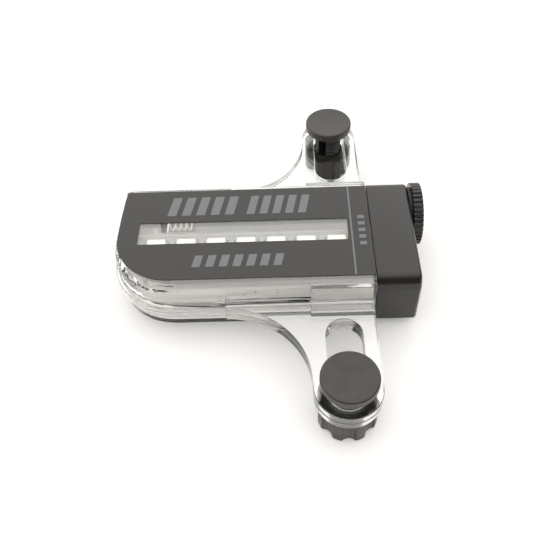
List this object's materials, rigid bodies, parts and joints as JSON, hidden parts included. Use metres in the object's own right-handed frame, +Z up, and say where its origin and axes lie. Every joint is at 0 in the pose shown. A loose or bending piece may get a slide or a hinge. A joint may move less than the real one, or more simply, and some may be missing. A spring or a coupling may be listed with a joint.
{
  "type": "spoke wheel light",
  "caption": "Clear housing with lamps behind a window strip and slotted arms whose bolts and thumb nuts clamp it between wheel spokes.",
  "frame": {"origin": "under the middle of the light's box, on the plane of its two nuts' lower faces", "axes": "+X from the rounded end to the screw plug, +Y from the front arm to the rear arm, +Z up"},
  "size_m": [0.084, 0.1056, 0.0198],
  "materials": {
    "clear_plastic": "clear moulded polycarbonate, polished",
    "label_film": "printed black film, satin",
    "black_plastic": "moulded black ABS, fine satin",
    "carrier_plastic": "pale grey moulded plastic",
    "board_laminate": "white-coated circuit board",
    "control_laminate": "green circuit board",
    "lamp_package": "white lamp package with a clear filling",
    "chip_epoxy": "moulded black epoxy",
    "ferrite": "pressed ferrite",
    "spring_steel": "nickel-plated spring wire",
    "plated_steel": "nickel-plated sheet",
    "brass": "drawn brass",
    "cell_print": "plain pale shrink wrap",
    "rubber": "moulded black rubber",
    "bolt_plastic": "glass-filled black nylon"
  },
  "bodies": {
    "housing": {"upper_shell": "clear_plastic", "lower_shell": "clear_plastic", "upper_label": "label_film", "lower_label": "label_film", "end_cap": "black_plastic", "inner_carrier": "carrier_plastic", "upper_led_board": "board_laminate", "lower_led_board": "board_laminate", "upper_leds": "lamp_package", "lower_leds": "lamp_package", "board_pins": "brass", "control_board": "control_laminate", "controller_chip": "chip_epoxy", "motion_switch": "plated_steel", "boost_inductor": "ferrite", "storage_capacitor": "plated_steel", "resistors": "chip_epoxy", "spring_plate": "plated_steel", "contact_spring": "spring_steel", "cell_can": "plated_steel", "cell_wrap": "cell_print", "cell_button": "plated_steel", "contact_sleeve": "brass", "sleeve_strip": "brass"},
    "front_spoke_bolt": {"front_bolt": "bolt_plastic"},
    "rear_spoke_bolt": {"rear_bolt": "bolt_plastic"},
    "front_thumb_nut": {"front_nut": "bolt_plastic"},
    "rear_thumb_nut": {"rear_nut": "bolt_plastic"},
    "screw_plug": {"thumb_plug": "black_plastic", "plug_contact": "brass", "plug_gasket": "rubber"}
  },
  "joints": [
    {"name": "front_bolt_slide", "type": "slide", "parent": "housing", "child": "front_spoke_bolt", "axis": [0, 1, 0], "range_m": [0, 0.0155]},
    {"name": "rear_bolt_slide", "type": "slide", "parent": "housing", "child": "rear_spoke_bolt", "axis": [0, -1, 0], "range_m": [0, 0.0155]},
    {"name": "front_nut_turn", "type": "hinge", "parent": "front_spoke_bolt", "child": "front_thumb_nut", "pos_m": [0.01808, -0.045, 0], "axis": [0, 0, 1], "continuous": true},
    {"name": "rear_nut_turn", "type": "hinge", "parent": "rear_spoke_bolt", "child": "rear_thumb_nut", "pos_m": [0.01808, 0.045, 0], "axis": [0, 0, 1], "continuous": true},
    {"name": "plug_turn", "type": "hinge", "parent": "housing", "child": "screw_plug", "pos_m": [0.03938, 0.012, 0.01105], "axis": [1, 0, 0], "continuous": true}
  ]
}
